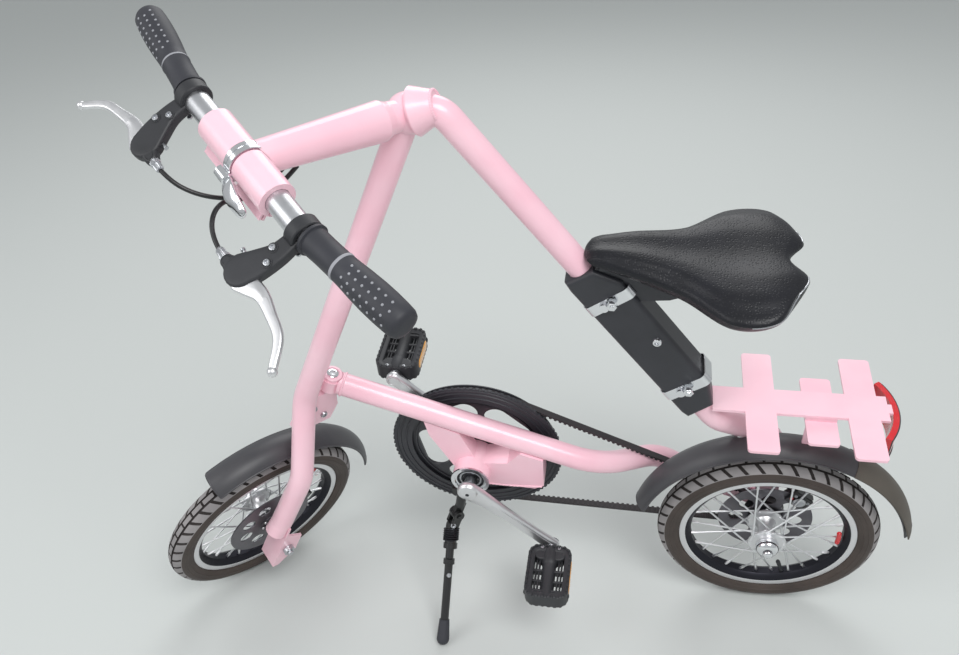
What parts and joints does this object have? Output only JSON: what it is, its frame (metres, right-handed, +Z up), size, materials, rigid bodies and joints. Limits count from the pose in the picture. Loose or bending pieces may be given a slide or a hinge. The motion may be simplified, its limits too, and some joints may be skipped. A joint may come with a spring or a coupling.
{
  "type": "folding bicycle",
  "caption": "Folding bicycle with a triangular tube frame, one-sided legs, small spoked wheels, toothed belt drive, rack and side stand, parked leaning with its steering turned.",
  "frame": {"origin": "centre of the parked bicycle's bounding box, on the floor", "axes": "+X forwards along the frame, +Y to the rider's left, +Z up"},
  "size_m": [1.1242, 0.5652, 0.9708],
  "materials": {
    "pink_paint": "gloss",
    "black_paint": "satin",
    "tyre_rubber": "matte",
    "grip_rubber": "matte",
    "belt_rubber": "matte",
    "saddle_cover": "satin",
    "black_plastic": "satin",
    "silver_alloy": "satin",
    "rim_alloy": "satin",
    "steel": "satin",
    "chrome_plate": "polished",
    "amber_lens": "gloss",
    "red_lens": "gloss"
  },
  "bodies": {
    "rear_frame": {"main_tube": "pink_paint", "saddle_moulding": "black_plastic", "upper_band": "steel", "lower_band": "steel", "saddle": "saddle_cover", "saddle_base": "black_plastic", "rack": "pink_paint", "rear_reflector": "red_lens", "rear_mudguard": "black_plastic", "rear_axle": "steel", "rear_caliper": "black_paint"},
    "rear_wheel": {"rear_tyre": "tyre_rubber", "rear_rim": "rim_alloy", "rear_hub": "silver_alloy", "rear_rotor": "steel"},
    "bottom_frame": {"bottom_tube": "pink_paint", "crank_housing": "pink_paint", "left_bearing_ring": "chrome_plate", "right_bearing_ring": "chrome_plate", "belt": "belt_rubber", "stand_bracket": "black_paint"},
    "belt_pulley": {"rear_cog": "black_plastic"},
    "crank_set": {"chainring": "black_plastic", "crank_spindle": "steel", "left_crank": "silver_alloy", "right_crank": "silver_alloy", "left_pedal_axle": "steel", "right_pedal_axle": "steel"},
    "left_pedal_body": {"left_pedal": "black_plastic", "left_pedal_reflectors": "amber_lens"},
    "right_pedal_body": {"right_pedal": "black_plastic", "right_pedal_reflectors": "amber_lens"},
    "side_stand": {"stand_leg": "black_paint", "stand_foot": "grip_rubber"},
    "front_fork": {"front_tube": "pink_paint", "front_lug": "pink_paint", "ball_stud": "steel", "fork_bracket": "pink_paint", "front_axle": "steel", "front_mudguard": "black_plastic", "front_caliper": "black_paint", "handlebar": "silver_alloy", "handlebar_clamp": "pink_paint", "clamp_lever": "chrome_plate", "left_grip": "grip_rubber", "right_grip": "grip_rubber", "left_lever_body": "black_plastic", "right_lever_body": "black_plastic", "left_brake_lever": "silver_alloy", "right_brake_lever": "silver_alloy", "left_cable_adjuster": "silver_alloy", "right_cable_adjuster": "silver_alloy", "left_cable": "belt_rubber", "right_cable": "belt_rubber"},
    "front_wheel": {"front_tyre": "tyre_rubber", "front_rim": "rim_alloy", "front_hub": "silver_alloy", "front_rotor": "steel"}
  },
  "joints": [
    {"name": "rear_wheel_spin", "type": "hinge", "parent": "rear_frame", "child": "rear_wheel", "pos_m": [-0.3612, -0.16827, 0.16083], "axis": [0, 0.9848, -0.1736], "continuous": true},
    {"name": "bottom_tube_lift", "type": "hinge", "parent": "rear_frame", "child": "bottom_frame", "pos_m": [-0.3612, -0.16827, 0.16083], "axis": [0, -0.9848, 0.1736], "range_deg": [0, 28]},
    {"name": "crank_turn", "type": "hinge", "parent": "bottom_frame", "child": "crank_set", "pos_m": [0.08481, -0.14932, 0.26828], "axis": [0, 0.9848, -0.1736], "range_deg": [-30, 270]},
    {"name": "belt_pulley_turn", "type": "hinge", "parent": "bottom_frame", "child": "belt_pulley", "pos_m": [-0.3612, -0.16827, 0.16083], "axis": [0, 0.9848, -0.1736], "range_deg": [-142.5, 1282.5]},
    {"name": "left_pedal_spin", "type": "hinge", "parent": "crank_set", "child": "left_pedal_body", "pos_m": [-0.03793, -0.10894, 0.14026], "axis": [0, 0.9848, -0.1736], "continuous": true},
    {"name": "right_pedal_spin", "type": "hinge", "parent": "crank_set", "child": "right_pedal_body", "pos_m": [0.20756, -0.18576, 0.3956], "axis": [0, 0.9848, -0.1736], "continuous": true},
    {"name": "side_stand_swing", "type": "hinge", "parent": "bottom_frame", "child": "side_stand", "pos_m": [0.1136, -0.12661, 0.17823], "axis": [-0.5778, 0.8143, -0.0563], "range_deg": [0, 120]},
    {"name": "steering", "type": "hinge", "parent": "rear_frame", "child": "front_fork", "pos_m": [0.28434, -0.12139, 0.42668], "axis": [-0.3718, 0.1612, 0.9142], "range_deg": [-97, 0]},
    {"name": "front_wheel_spin", "type": "hinge", "parent": "front_fork", "child": "front_wheel", "pos_m": [0.43932, -0.12023, 0.15172], "axis": [-0.6953, 0.6042, -0.3893], "continuous": true}
  ],
  "couplings": [
    {"joint": "belt_pulley_turn", "follows": "crank_turn", "ratio": 4.75}
  ]
}
